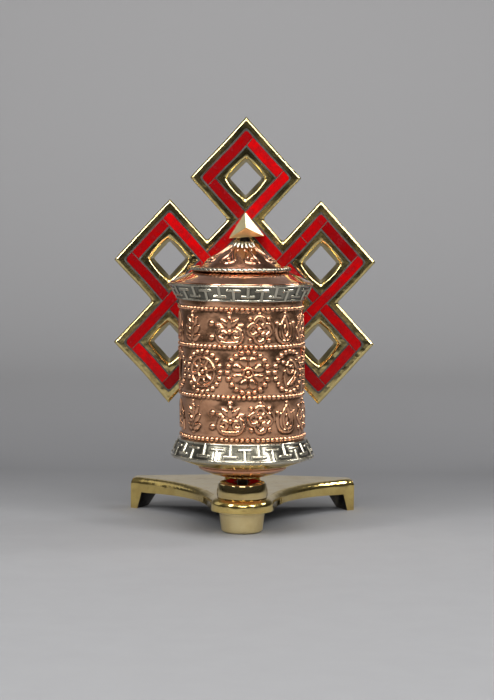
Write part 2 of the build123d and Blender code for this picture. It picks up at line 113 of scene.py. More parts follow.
def softened_outline(corners):
    """Outline through (radius, height, rounding) corners, each rounded by a curve of six points."""
    outline = []
    for i, (x, y, rounding) in enumerate(corners):
        if rounding == 0:
            outline.append((x, y))
            continue
        here = Vector((x, y))
        before = Vector(corners[i - 1][:2])
        after = Vector(corners[(i + 1) % len(corners)][:2])
        start = here + (before - here).normalized() * min(rounding, (before - here).length * 0.5)
        end = here + (after - here).normalized() * min(rounding, (after - here).length * 0.5)
        outline += bow(tuple(start), (x, y), tuple(end), 6)
    return outline


def sampled(outline, step):
    """The outline with points no further apart than step."""
    points = np.array(outline, float)
    along = np.concatenate([[0], np.cumsum(np.hypot(*np.diff(points, axis=0).T))])
    places = np.linspace(0, along[-1], max(2, math.ceil(along[-1] / step) + 1))
    return np.column_stack([np.interp(places, along, points[:, k]) for k in (0, 1)]), places


def dome(share, power=0.5):
    """Height of a round ridge or bead at a share of its half width from its middle."""
    return np.clip(1 - share**2, 0, 1) ** power


# ---- embossed patterns


class Relief:
    """How far an embossed turned sheet stands proud: rows run along the outline, columns round the axis."""

    def __init__(self, radius, rows, columns):
        self.radius = radius
        self.rows = rows
        self.angles = np.arange(columns) * TAU / columns
        self.height = np.zeros((len(rows), columns))

    def stamp(self, degrees, along, half_width, half_height, painter):
        """Presses a pattern into the sheet, at an angle from the front and at a place along the rows."""
        across = self.radius * ((self.angles - radians(degrees) + math.pi) % TAU - math.pi)
        columns = np.flatnonzero(abs(across) < half_width)
        rows = np.flatnonzero(abs(self.rows - along) < half_height)
        u, v = np.meshgrid(across[columns], self.rows[rows] - along)
        window = np.ix_(rows, columns)
        self.height[window] = np.maximum(self.height[window], painter(u, v))

    def blurred(self, reach):
        """The height averaged over a neighbourhood of reach millimetres each way."""
        result = self.height
        steps = (abs(self.rows[1] - self.rows[0]), self.radius * TAU / len(self.angles))
        for axis, step in enumerate(steps):
            count = max(1, round(reach / step))
            offsets = range(-count, count + 1)
            weights = [math.exp(-2 * (k / count) ** 2) for k in offsets]
            result = sum(w * np.roll(result, k, axis) for w, k in zip(weights, offsets)) / sum(weights)
        return result

    def finish(self, sink, dents, ground=0.0):
        """Sinks the sheet beside the pattern, adds the dents of hand work and works out the dark hollows.

        ground is how dark the flat ground between the ridges is left, from 0 to 1."""
        sink_reach, hollow_reach, darkest_hollow, ridge_height, waves = 1.3, 0.8, 0.22, 0.25, 26
        raised = self.height
        self.height = self.height - sink * self.blurred(sink_reach)
        self.hollow = np.clip((self.blurred(hollow_reach) - self.height) / darkest_hollow, 0, 1)
        self.hollow = np.maximum(self.hollow, ground * np.clip(1 - raised / ridge_height, 0, 1))
        for _ in range(waves):
            round_waves = RANDOM.integers(2, 15)
            along_waves = RANDOM.uniform(-0.45, 0.45)
            phase = RANDOM.uniform(0, TAU)
            wave = np.cos(self.angles[None, :] * round_waves + self.rows[:, None] * along_waves + phase)
            self.height = self.height + dents / waves * RANDOM.uniform(0.4, 1.6) * wave


def distance_to(u, v, stroke):
    """Distance of each grid point to a polyline."""
    nearest = np.full(u.shape, np.inf)
    for (x0, y0), (x1, y1) in zip(stroke, stroke[1:]):
        dx, dy = x1 - x0, y1 - y0
        share = np.clip(((u - x0) * dx + (v - y0) * dy) / max(dx * dx + dy * dy, 1e-9), 0, 1)
        nearest = np.minimum(nearest, np.hypot(u - x0 - share * dx, v - y0 - share * dy))
    return nearest


def drawn(strokes, dots=(), leaves=(), half_width=0.95, height=1.0, crown=0.5):
    """Painter of ridges along strokes, round beads at (x, y, radius) and domed leaves.

    A leaf is (x, y, half its length, half its width, degrees that its length is turned from upright)."""

    highest, bead_lift, leaf_taper = 1.1, 1.1, 0.35

    def paint(u, v):
        result = np.zeros(u.shape)
        for stroke in strokes:
            share = distance_to(u, v, stroke) / half_width
            result = np.maximum(result, height * dome(share, crown))
        for x, y, radius in dots:
            share = np.hypot(u - x, v - y) / radius
            result = np.maximum(result, bead_lift * min(radius, highest) * dome(share))
        for x, y, length, width, turn in leaves:
            sine, cosine = sin(radians(turn)), cos(radians(turn))
            along = ((u - x) * sine + (v - y) * cosine) / length
            across = ((u - x) * cosine - (v - y) * sine) / width / (1 - leaf_taper * np.clip(along, -1, 1))
            result = np.maximum(result, min(width, highest) * dome(np.hypot(along, across)))
        return result

    return paint


def larger(painter, wider, taller):
    return lambda u, v: painter(u / wider, v / taller)


def both_leaves(leaves):
    return leaves + [(-x, y, length, width, -turn) for x, y, length, width, turn in leaves]


def rosette(reach, length, width, count, turned=0.0, flipped=0.0):
    """Leaves that point outwards all round a centre."""
    centers = arc((0, 0), reach, 90 - turned, 90 - turned - 360 * (count - 1) / count, count)
    return [(x, y, length, width, 360 * k / count + turned + flipped) for k, (x, y) in enumerate(centers)]


# Ornaments of the two tall friezes. Each is symmetric and about 11 mm wide and tall.
palmette = drawn(
    both_sides([spiral((-2.9, -1.9), 2.4, 0.7, 100, 500), bow((-0.5, -5.4), (-4.6, -5.8), (-5.3, -2.2))]),
    [(0, -0.9, 1.0), (0, 6.1, 0.9)],
    both_leaves([(-2.4, 2.9, 2.1, 1.0, -48), (-4.7, 1.5, 1.6, 0.8, -75)]) + [(0, 3.0, 2.6, 1.2, 0)],
)
lotus_bud = drawn(
    both_sides([
        bow((0, -3.8), (-3.9, 0.0), (0, 4.6)),
        bow((-0.6, -4.9), (-5.8, -4.2), (-4.9, 2.2)),
        bow((-2.6, -3.4), (-3.8, -1.2), (-3.0, 1.6)),
    ]),
    [(0, 6.1, 0.8)], [(0, 0.2, 1.9, 0.9, 0)],
)
quatrefoil = drawn(
    [arc((2.75 * cos(t), 2.75 * sin(t)), 2.1, math.degrees(t) - 128, math.degrees(t) + 128)
     for t in np.radians(np.arange(4) * 90)],
    [(0, 0, 1.2), (0, 6.1, 0.8)] + [(x, y, 0.9) for x in (-4.1, 4.1) for y in (-4.1, 4.1)],
)
crossed_diamonds = drawn(
    [[(-4.9, 0), (0, 4.9), (4.9, 0), (0, -4.9), (-4.9, 0)],
     [(-2.4, -2.4), (2.4, 2.4)], [(-2.4, 2.4), (2.4, -2.4)]],
    [(0, 6.2, 0.8)] + both_dots([(-4.2, 4.2, 0.9), (-4.2, -4.2, 0.9)]),
)
flaming_jewels = drawn(
    both_sides([
        bow((-4.6, -5.0), (-5.6, 1.4), (0, 5.2)),
        bow((-2.6, -0.9), (-2.4, 1.8), (0, 2.8)),
    ]),
    both_dots([(-1.7, -3.9, 1.4)]) + [(0, -1.2, 1.4)],
)
leafy_branch = drawn(
    [[(0, -5.3), (0, 2.2)]], [(0, 6.2, 0.8)],
    both_leaves([(-2.4, -3.4, 2.3, 1.1, -62), (-2.6, -0.2, 2.4, 1.1, -50), (-2.2, 2.8, 2.2, 1.0, -36)])
    + [(0, 4.0, 1.7, 1.0, 0)],
)
frieze_ornaments = [palmette, quatrefoil, lotus_bud, crossed_diamonds, flaming_jewels, leafy_branch]
bead_pair = drawn([], [(0, 2.6, 1.25), (0, -3.6, 1.25)])

# Ornaments of the roundels, each within a circle of 7.5 mm radius.
fine = {"half_width": 0.66, "height": 0.85}
wheel = drawn(
    [ring(6.5), ring(2.5)]
    + [[(2.7 * cos(t), 2.7 * sin(t)), (6.3 * cos(t), 6.3 * sin(t))]
       for t in np.radians(np.arange(8) * 45 + 12)],
    [(0, 0, 1.1)], **fine,
)
lotus = drawn([ring(2.1)], [(0, 0, 1.2)], rosette(5.1, 2.4, 1.7, 8, 22.5, 180), **fine)
shell = drawn(
    [spiral((0.4, 1.6), 4.4, 0.8, -70, 470), bow((1.9, -2.5), (-0.6, -4.6), (-2.6, -6.3)),
     bow((-3.8, 0.4), (-4.8, -3.2), (-2.6, -6.3)), bow((3.9, -1.8), (3.6, -4.4), (-0.4, -5.6))],
    [(4.6, 4.6, 0.8), (-4.7, 4.4, 0.8)], **fine,
)
knot_mark = drawn(
    [[(a, -4.2), (a, 4.2)] for a in (-2.8, 0, 2.8)] + [[(-4.2, a), (4.2, a)] for a in (-2.8, 0, 2.8)]
    + [ring(6.4)], both_dots([(-4.4, 4.4, 0.7), (-4.4, -4.4, 0.7)]), **fine,
)
twin_fish = drawn(
    both_sides([bow((-1.0, 5.8), (-6.8, 1.2), (-0.8, -3.6)), bow((-1.0, 5.8), (-1.2, 0.6), (-2.8, -2.2)),
                bow((-0.8, -3.6), (1.4, -4.6), (3.0, -6.0))]),
    both_dots([(-2.5, 3.6, 0.7)]), both_leaves([(-2.6, 0.9, 1.6, 0.8, 8)]), **fine,
)
vase = drawn(
    [[(-2.2, -6.0), (2.2, -6.0)], [(-2.6, 3.2), (2.6, 3.2)]]
    + both_sides([bow((-1.4, 3.0), (-1.2, 1.4), (-3.4, 0.6)), bow((-3.4, 0.6), (-4.4, -3.6), (-1.2, -5.8)),
                  bow((-0.6, 3.8), (-2.6, 5.2), (-4.6, 4.4))]),
    [(0, 5.4, 1.1), (0, -1.6, 1.3)], **fine,
)
parasol = drawn(
    [arc((0, 0.6), 4.9, 0, 180), [(-5.2, 0.6), (5.2, 0.6)], [(0, 5.8), (0, -6.2)]]
    + both_sides([[(-3.6, 0.6), (-3.6, -2.2)], bow((0, 5.4), (-2.2, 3.6), (-2.4, 0.8))]),
    both_dots([(-3.6, -3.2, 0.8)]) + [(0, 6.4, 0.7)], **fine,
)
banner = drawn(
    [[(-3.4, y), (3.4, y)] for y in (3.8, 1.2, -1.4, -4.0)]
    + both_sides([[(-3.4, 3.8), (-3.4, -4.0)], bow((-3.4, 3.8), (-2.2, 5.0), (0, 5.8)),
                  bow((-3.4, -4.0), (-4.6, -4.6), (-4.8, -6.0))]),
    [(0, 6.4, 0.8), (0, -5.8, 0.9)], **fine,
)
roundels = [wheel, lotus, shell, knot_mark, twin_fish, vase, parasol, banner]

# ---- materials


def feed(tree, socket, value):
    """Gives a socket a plain value or another node's output."""
    if isinstance(value, bpy.types.NodeSocket):
        tree.links.new(value, socket)
    else:
        socket.default_value = value


def add(tree, kind, settings=(), **inputs):
    """A shader node with its settings and its inputs, which are values or other nodes' outputs."""
    made = tree.nodes.new("ShaderNode" + kind)
    for key, value in dict(settings).items():
        setattr(made, key, value)
    for key, value in inputs.items():
        feed(tree, made.inputs[key], value)
    return made


def computed(tree, operation, *values):
    made = add(tree, "Math", {"operation": operation})
    for socket, value in zip(made.inputs, values):
        feed(tree, socket, value)
    return made.outputs[0]


def mixed(tree, factor, first, second):
    """Colour that goes from first to second with factor."""
    made = add(tree, "Mix", {"data_type": "RGBA"})
    for index, value in ((0, factor), (6, first), (7, second)):
        feed(tree, made.inputs[index], (*value, 1) if isinstance(value, tuple) else value)
    return made.outputs[2]


def ramped(tree, value, low, high, to_low=0.0, to_high=1.0):
    """value brought from the range low..high to the range to_low..to_high."""
    made = add(tree, "MapRange", Value=value)
    for index, number in ((1, low), (2, high), (3, to_low), (4, to_high)):
        made.inputs[index].default_value = number
    return made.outputs[0]


def noise(tree, place, scale, detail, roughness=0.55):
    made = add(tree, "TexNoise", Vector=place, Scale=scale, Detail=detail, Roughness=roughness)
    return made.outputs["Fac"]


def new_material(name, metallic, coat=0.0):
    """Parts of a new material. coat is the share of a thin clear lacquer, which gives metal white glints."""
    material = bpy.data.materials.new(name)
    material.use_nodes = True
    tree = material.node_tree
    shader = tree.nodes["Principled BSDF"]
    shader.inputs["Metallic"].default_value = metallic
    shader.inputs["Coat Weight"].default_value = coat
    shader.inputs["Coat Roughness"].default_value = 0.06
    place = tree.nodes.new("ShaderNodeTexCoord").outputs["Object"]
    return material, tree, shader, place


def surfaced(tree, shader, colour, roughness, height, depth):
    """Gives a shader its colour, its roughness and the fine height of its surface, in millimetres."""
    bump = add(tree, "Bump", Height=height, Distance=depth * MM, Strength=1.0)
    feed(tree, shader.inputs["Base Color"], colour)
    feed(tree, shader.inputs["Roughness"], roughness)
    feed(tree, shader.inputs["Normal"], bump.outputs["Normal"])


def metal(name, colour, tarnish, dark, polish, wear, waviness, embossed=False, coat=0.5):
    """Polished metal: cloudy tarnish, dark hollows (patina on the embossed sheets, painted shade on the cast
    base), fine scratches and a slightly wavy surface.

    polish is the lowest and highest roughness, wear how far tarnish spreads, waviness is in millimetres."""
    cloud_scale, spot_scale, wave_scale, scratch_scale, scratch_share = 90, 420, 160, 2600, 0.04
    material, tree, shader, place = new_material(name, 1.0, coat)
    clouds = noise(tree, place, cloud_scale, 5)
    spots = noise(tree, place, spot_scale, 4, 0.7)
    spread = ramped(tree, clouds, 0.42, 0.68, 0.0, wear)
    surface = mixed(tree, spread, colour, tarnish)
    speckle = ramped(tree, spots, 0.56, 0.74, 0.0, 0.45 * wear)
    surface = mixed(tree, speckle, surface, dark)
    if embossed:
        hollow = add(tree, "Attribute", {"attribute_name": "hollow"}).outputs["Fac"]
        # Marked hollows take the dark colour: patina in the embossed sheets' hollows, painted shade on the
        # cast base's underside and inner leg faces.
        patina_and_painted_shade = computed(tree, "MULTIPLY", hollow, ramped(tree, clouds, 0.3, 0.6, 0.8, 1.15))
        surface = mixed(tree, patina_and_painted_shade, surface, dark)
    cloudy = ramped(tree, clouds, 0.35, 0.7, *polish)
    haze = computed(tree, "MULTIPLY_ADD", spots, 0.4 * (polish[1] - polish[0]), cloudy)
    stretched = add(tree, "Mapping", Vector=place, Scale=(1.0, 1.0, 0.08)).outputs[0]
    scratches = noise(tree, stretched, scratch_scale, 2)
    waves = noise(tree, place, wave_scale, 2)
    bent = computed(tree, "MULTIPLY_ADD", scratches, scratch_share, waves)
    surfaced(tree, shader, surface, haze, bent, waviness)
    return material


def turned_metal(name, colour, tarnish, polish, waviness=0.06):
    """Metal with the fine rings that a lathe leaves round the drum's axis. waviness is in millimetres."""
    ring_scale, cloud_scale, wave_scale, ring_depth = 1500, 110, 130, 0.02
    material, tree, shader, place = new_material(name, 1.0, 0.5)
    x, y, z = add(tree, "SeparateXYZ", Vector=place).outputs
    level = add(tree, "CombineXYZ", X=x, Y=y, Z=0.0).outputs[0]
    radius = add(tree, "VectorMath", {"operation": "LENGTH"}, Vector=level).outputs["Value"]
    in_section = add(tree, "CombineXYZ", X=radius, Y=0.0, Z=z).outputs[0]
    rings = noise(tree, in_section, ring_scale, 4, 0.7)
    clouds = noise(tree, place, cloud_scale, 5)
    surface = mixed(tree, ramped(tree, clouds, 0.42, 0.7, 0.0, 0.75), colour, tarnish)
    surface = mixed(tree, ramped(tree, rings, 0.5, 0.75, 0.0, 0.25), surface, tarnish)
    waves = noise(tree, place, wave_scale, 2)
    bent = computed(tree, "MULTIPLY_ADD", waves, waviness / ring_depth, rings)
    surfaced(tree, shader, surface, ramped(tree, clouds, 0.35, 0.7, *polish), bent, ring_depth)
    return material


def red_inlay():
    """Polished red stone pieces, each with its own shade, with faint clouds and fine polishing marks."""
    material, tree, shader, place = new_material("red_inlay", 0.0)
    piece = add(tree, "NewGeometry").outputs["Random Per Island"]
    clouds = noise(tree, place, 240, 6, 0.6)
    shade = mixed(tree, piece, (0.20, 0.0, 0.0005), (0.54, 0.001, 0.002))
    surface = mixed(tree, ramped(tree, clouds, 0.4, 0.72, 0.0, 0.8), shade, (0.17, 0.0, 0.003))
    polish = ramped(tree, clouds, 0.3, 0.8, 0.16, 0.34)
    surfaced(tree, shader, surface, polish, noise(tree, place, 500, 4), 0.05)
    shader.inputs["Specular IOR Level"].default_value = 0.28
    return material


def grainy(name, light, dark, scale, roughness, depth, stretch=(1, 1, 1)):
    """Dull material with grain, depth millimetres deep: cement, wood, paper or cloth."""
    material, tree, shader, place = new_material(name, 0.0)
    drawn_out = add(tree, "Mapping", Vector=place, Scale=stretch).outputs[0]
    grain = noise(tree, drawn_out, scale, 7, 0.65)
    colour = mixed(tree, ramped(tree, grain, 0.3, 0.7), dark, light)
    dullness = ramped(tree, grain, 0.3, 0.7, roughness, roughness - 0.15)
    surfaced(tree, shader, colour, dullness, grain, depth)
    return material


copper = metal("embossed_copper", (0.97, 0.51, 0.29), (0.72, 0.33, 0.16), (0.035, 0.012, 0.006),
               (0.12, 0.27), 0.55, 0.22, embossed=True, coat=0.35)
lid_copper = metal("lid_copper", (0.72, 0.34, 0.20), (0.48, 0.21, 0.11), (0.04, 0.014, 0.007),
                   (0.12, 0.26), 0.8, 0.2, embossed=True)
smooth_copper = turned_metal("spun_copper", (0.84, 0.41, 0.24), (0.54, 0.23, 0.12), (0.08, 0.20), 0.3)
white_metal = metal("white_metal", (0.67, 0.62, 0.49), (0.43, 0.39, 0.29), (0.03, 0.031, 0.022),
                    (0.12, 0.30), 0.8, 0.16, embossed=True)
brass = metal("cast_brass", (0.84, 0.68, 0.29), (0.62, 0.45, 0.16), (0.07, 0.045, 0.02),
              (0.06, 0.22), 0.8, 0.28)
arm_brass = metal("filed_brass", (0.88, 0.76, 0.42), (0.66, 0.54, 0.25), (0.30, 0.22, 0.10),
                  (0.26, 0.42), 0.5, 0.15)
# The base's brass: its dark colour serves both its speckle and the painted shade on its underside and inner
# leg faces.
base_brass = metal("worn_brass_and_painted_shade", (0.86, 0.65, 0.22), (0.64, 0.45, 0.14), (0.020, 0.012, 0.006),
                   (0.08, 0.22), 0.6, 0.30, embossed=True, coat=0.3)
turned_brass = turned_metal("turned_brass", (0.82, 0.64, 0.29), (0.58, 0.42, 0.15), (0.05, 0.14), 0.1)
# The foot's brass is a lighter copy of the turned brass: its lighter colour is painted light on the foot,
# while its satin roughness is its own.
satin_brass_painted_light = turned_metal("satin_brass_painted_light", (1.0, 0.82, 0.43), (0.86, 0.67, 0.31), (0.40, 0.52))
dark_steel = metal("dark_steel", (0.06, 0.05, 0.045), (0.03, 0.025, 0.02), (0.015, 0.01, 0.01),
                   (0.25, 0.45), 0.8, 0.05, coat=0.0)
red_stone = red_inlay()
cement = grainy("dark_cement", (0.075, 0.068, 0.058), (0.020, 0.018, 0.015), 900, 0.8, 0.12)
wood = grainy("core_wood", (0.50, 0.32, 0.17), (0.28, 0.15, 0.07), 500, 0.6, 0.05, (1, 1, 0.05))
paper = grainy("rolled_paper", (0.86, 0.80, 0.66), (0.74, 0.66, 0.50), 700, 0.85, 0.05, (1, 1, 3))
cloth = grainy("wrap_cloth", (0.80, 0.50, 0.10), (0.60, 0.34, 0.05), 1600, 0.9, 0.1)

# ---- meshes


def in_scene(name, data):
    made = bpy.data.objects.new(name, data)
    scene.collection.objects.link(made)
    return made


def lean(mesh):
    """Leans the drum a little to the left towards its lid, which fits the axle loosely."""
    places = np.empty(3 * len(mesh.vertices))
    mesh.vertices.foreach_get("co", places)
    places = places.reshape(-1, 3)
    rise = np.clip((places[:, 2] / MM - drum_bottom) / (lid_bottom - drum_bottom), 0, 1)
    above = np.clip((places[:, 2] / MM - lid_bottom) / (collar_top - lid_bottom), 0, 1)
    places[:, 0] -= (drum_lean * rise - (drum_lean - collar_lean) * above) * MM
    mesh.vertices.foreach_set("co", places.reshape(-1))


def place_piece(name, mesh, material, body, nodes, sharp_angle=38):
    """Puts a finished mesh in the scene as a piece that stands for CAD nodes."""
    if body == "drum":
        lean(mesh)
    mesh.materials.clear()
    mesh.materials.append(material)
    mesh.shade_smooth()
    mesh.set_sharp_from_angle(angle=radians(sharp_angle))
    piece = in_scene(name, mesh)
    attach(piece, body)
    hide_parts(*nodes)
    return piece


def ring_mesh(name, rings, hollow=None):
    """Closed mesh from rings of points, each joined to the next and the last to the first."""
    rows, columns, _ = rings.shape
    index = np.arange(rows * columns).reshape(rows, columns)
    below, above = index, np.roll(index, -1, 0)
    faces = np.stack([below, np.roll(below, -1, 1), np.roll(above, -1, 1), above], -1).reshape(-1, 4)
    mesh = bpy.data.meshes.new(name)
    mesh.from_pydata((rings.reshape(-1, 3) * MM).tolist(), [], faces.tolist())
    if hollow is not None:
        values = mesh.attributes.new("hollow", "FLOAT", "POINT")
        values.data.foreach_set("value", hollow.reshape(-1).astype(np.float32))
    mesh.validate()
    return mesh


def round_points(radii, heights, columns):
    """Rings of points about the drum's axis, with one radius and height for a ring or for each point."""
    angles = np.arange(columns) * TAU / columns
    radii, heights = (
        np.broadcast_to(values if values.ndim == 2 else values[:, None], (len(values), columns))
        for values in (radii, heights)
    )
    return np.stack([radii * np.sin(angles), -radii * np.cos(angles), heights], -1)


def turned(name, outline, material, body, slot, nodes, columns=256):
    """A plain turned piece from the closed outline of its section."""
    mesh = ring_mesh(name, round_points(*np.array(outline).T, columns))
    place_piece(name, mesh, material, body, nodes)


def embossed(name, outline, relief, closing, material, slot, nodes, rows=slice(None)):
    """A turned sheet. Its outer skin carries rows of a relief, and its closing points lead back inside."""
    height, hollow = relief.height[rows], relief.hollow[rows]
    directions = np.gradient(outline, axis=0)
    directions /= np.hypot(*directions.T)[:, None]
    radii = outline[:, :1] + directions[:, 1:] * height
    heights = outline[:, 1:] - directions[:, :1] * height
    columns = len(relief.angles)
    back = round_points(*np.array(closing, float).T, columns)
    rings = np.concatenate([round_points(radii, heights, columns), back])
    hollow = np.concatenate([hollow, np.zeros((len(back), columns))])
    place_piece(name, ring_mesh(name, rings, hollow), material, "drum", nodes, 75)


# ---- copper drum

row_step = 0.2
drum_columns = 720
# The relief starts and ends a little behind the fret bands.
frieze_rows = np.arange(lower_band_top - 0.6, upper_band_bottom + 0.6, row_step)
drum = Relief(drum_radius, frieze_rows, drum_columns)
bead_row_heights, beads_round, bead_radius = (45.1, 64.0, 86.3, 102.9), 74, 0.98
bead, bead_reach = drawn([], [(0, 0, bead_radius)]), bead_radius + 0.2
for row, height in enumerate(bead_row_heights):
    for k in range(beads_round):
        drum.stamp(2.0 * row + k * 360 / beads_round, height, bead_reach, bead_reach, bead)
# The six ornaments and the pair of beads that divides them go round twice. Places are in degrees.
first_ornament, ornament_pitch, beads_before, frieze_heights = -10.8, 28, 17.4, (54.4, 94.0)
for frieze_middle in frieze_heights:
    for group_start in (first_ornament, first_ornament + 180):
        for place, ornament in enumerate(frieze_ornaments):
            angle = group_start + ornament_pitch * place
            drum.stamp(angle, frieze_middle, 6.9, 8.2, larger(ornament, 1.05, 1.15))
        drum.stamp(group_start - beads_before, frieze_middle, 1.5, 6.0, bead_pair)
first_roundel, roundel_middle, roundel_beads = -38.8, 75.0, 20
circle_half_width, circle_half_height = 9.3, 9.1
circle_bead = drawn([], [(0, 0, 1.12)])
for place, ornament in enumerate(roundels):
    middle_angle = first_roundel + 360 / len(roundels) * place
    drum.stamp(middle_angle, roundel_middle, 7.7, 7.7, ornament)
    for k in range(roundel_beads):
        turn = TAU * k / roundel_beads
        bead_angle = middle_angle + math.degrees(circle_half_width * sin(turn) / drum_radius)
        drum.stamp(bead_angle, roundel_middle + circle_half_height * cos(turn), 1.3, 1.3, circle_bead)
drum.finish(sink=0.5, dents=0.9, ground=0.05)

# The shell is made in three pieces, which meet next to the two middle rows of beads.
plain = drum_radius - 0.1
inner_radius = drum_radius - sheet
last_row = len(frieze_rows) - 1
cuts = [0, *(int((height - frieze_rows[0]) / row_step) for height in (65.7, 84.5)), last_row]
for part_name, first, last in zip(("lower", "middle", "upper"), cuts, cuts[1:]):
    rows = slice(first, last + 1)
    heights = frieze_rows[rows]
    low_end = drum_bottom if first == 0 else heights[0]
    high_end = drum_top if last == last_row else heights[-1]
    closing = [(inner_radius, high_end), (inner_radius, low_end)]
    closing = [(plain, high_end)] * (last == last_row) + closing + [(plain, low_end)] * (first == 0)
    outline = np.column_stack([np.full(len(heights), plain), heights])
    embossed(f"copper_drum_{part_name}", outline, drum, closing, copper, "drum_copper", ["drum_shell"], rows)

# ---- fret bands


def fret_band(name, outline, closing, nodes, first_angle):
    """White-metal band with interlocked standing and hanging T shapes between raised borders."""
    points, along = sampled(outline, row_step)
    width = along[-1]
    band = Relief((points[0, 0] + points[-1, 0]) / 2, along, drum_columns)
    pairs, bar_half, border_height, border_half = 15, 2.6, 0.6, 0.6
    flat = {"half_width": 0.72, "height": 0.7, "crown": 0.35}
    for up, shift in ((1, 0.0), (-1, 0.5)):
        stem_end, bar = up * (0.4 - width / 2), up * 0.19 * width
        shape = drawn([[(0, stem_end), (0, bar)], [(-bar_half, bar), (bar_half, bar)]], **flat)
        for k in range(pairs):
            band.stamp(first_angle + 360 / pairs * (k + shift), width / 2, 4.2, width / 2, shape)
    for edge in (0.3, width - 0.3):
        border = border_height * dome((along - edge) / border_half, 0.4)
        band.height = np.maximum(band.height, border[:, None])
    band.finish(sink=0.25, dents=0.5, ground=0.7)
    embossed(name, points, band, closing, white_metal, "white_metal", nodes)


fret_band(
    "upper_fret_band",
    [(band_foot_radius, upper_band_bottom), (rim_radius, upper_band_top - 0.3)],
    [(rim_radius - 0.3, upper_band_top), (rim_radius - 0.9, upper_band_top),
     (drum_radius + 0.2, upper_band_bottom)],
    ["top_fret_band"], -6.0,
)
fret_band(
    "lower_fret_band",
    [(rim_radius, lower_band_bottom + 0.9), (band_foot_radius, lower_band_top)],
    [(drum_radius + 0.2, lower_band_top), (rim_radius - 1.4, lower_band_bottom + 0.3),
     (rim_radius - 0.7, lower_band_bottom), (rim_radius - 0.1, lower_band_bottom + 0.25)],
    ["bottom_fret_band"], 2.0,
)

# ---- shoulder, lid and collar

neck_radius = 20.75
shoulder_edge, _, shoulder_top = span("shoulder_disc")
turned(
    "copper_shoulder",
    softened_outline([
        (shoulder_edge, upper_band_top - 0.1, 0.3), (shoulder_edge - 0.2, upper_band_top + 0.5, 0.3),
        (neck_radius + 0.8, shoulder_top - 0.6, 0.5), (neck_radius, shoulder_top, 0.15),
        (neck_radius - 0.5, shoulder_top, 0.15), (neck_radius - 0.5, shoulder_top - 2.4, 0.4),
        (shoulder_edge - 1.0, upper_band_top - 0.1, 0.2),
    ]),
    smooth_copper, "drum", "drum_copper", ["shoulder_disc"], 320,
)

brim = bow((lid_radius, lid_bottom + 0.5), (lid_radius - 1.8, lid_bottom + 0.6),
           (19.3, lid_bottom + 1.2), 8)
slope = bow((19.1, lid_bottom + 1.4), (12.5, lid_bottom + 6.1), (5.2, lid_top - 0.1), 16)
lid_points, lid_along = sampled(brim + slope, 0.18)
lid_mean_radius, drops, flutes = 12.0, 8, 16
lid = Relief(lid_mean_radius, lid_along, drum_columns)
lid_length = lid_along[-1]
drop = drawn(
    both_sides([bow((-0.9, 6.5), (-0.9, 1.5), (-2.3, -1.2)), bow((-2.3, -1.2), (-3.4, -4.9), (0, -5.0))]),
    [(0, -2.2, 1.0)], half_width=0.75, height=0.55, crown=0.7,
)
for k in range(drops):
    lid.stamp(20 + 360 / drops * k, lid_length - 8.2, 4.2, 8.0, drop)
flute = drawn([[(0, -2.0), (0, 2.0)]], half_width=0.8, height=0.5, crown=0.8)
for k in range(flutes):
    lid.stamp(8.75 + 360 / flutes * k, lid_length - 1.2, 1.2, 2.6, flute)
lid.finish(sink=0.3, dents=0.4)
embossed(
    "copper_lid", lid_points, lid,
    [(lid_points[-1][0], lid_top - 1.0), (17.5, lid_bottom + 0.6), (lid_radius - 0.1, lid_bottom)],
    lid_copper, "drum_copper", ["lid_cone"],
)


def rope_ring(name):
    """Ring of twisted wire round the lid's edge: a round section with spiral grooves."""
    outer, bottom, top = span("lid_rope_rim")
    radius = (top - bottom) / 2
    columns, section_points, twists = 960, 20, 58
    round_angles = np.arange(columns) * TAU / columns
    section = (np.arange(section_points) * TAU / section_points)[:, None]
    strand = np.abs(np.cos(section + twists * round_angles / 2)) ** 0.7
    reach = radius * (0.72 + 0.5 * strand)
    radii, heights = outer - radius + reach * np.cos(section), (bottom + top) / 2 + reach * np.sin(section)
    mesh = ring_mesh(name, round_points(radii, heights, columns), np.clip(1.3 - 2.0 * strand, 0, 1))
    place_piece(name, mesh, white_metal, "drum", ["lid_rope_rim"], 75)


rope_ring("lid_rope")


def petal_collar(name):
    """Small fluted collar under the arm, which widens downwards and lies on the lid."""
    columns, lobe_count = 480, 16
    lobes = np.abs(np.cos(lobe_count / 2 * np.arange(columns) * TAU / columns)) ** 0.6
    hub = axle_radius + 0.05 - collar_radius
    # Each row has its place against the collar's edge and top, and how far its lobes swell and hang.
    rows = [(hub, -0.2, 0, 0), (-1.7, 0, 0, 0), (-1.2, -0.2, 0.2, 0), (-0.9, -0.8, 0.6, 0),
            (-0.4, -1.6, 0.8, 0), (0.3, -2.3, 0.9, -0.3), (0.7, -2.7, 0.9, -0.6),
            (-0.1, -3.0, 0.6, -0.6), (hub, -2.2, 0, 0)]
    radii = np.array([collar_radius + out + swell * (lobes - 0.6) for out, _, swell, _ in rows])
    heights = np.array([collar_top + up + hang * lobes for _, up, _, hang in rows])
    hollow = np.array([(1 - lobes) * (1 if swell else 0) for _, _, swell, _ in rows])
    mesh = ring_mesh(name, round_points(radii, heights, columns)[::-1], hollow[::-1])
    place_piece(name, mesh, white_metal, "drum", ["lid_collar"], 60)


petal_collar("lid_petal_collar")

# ---- underside of the drum

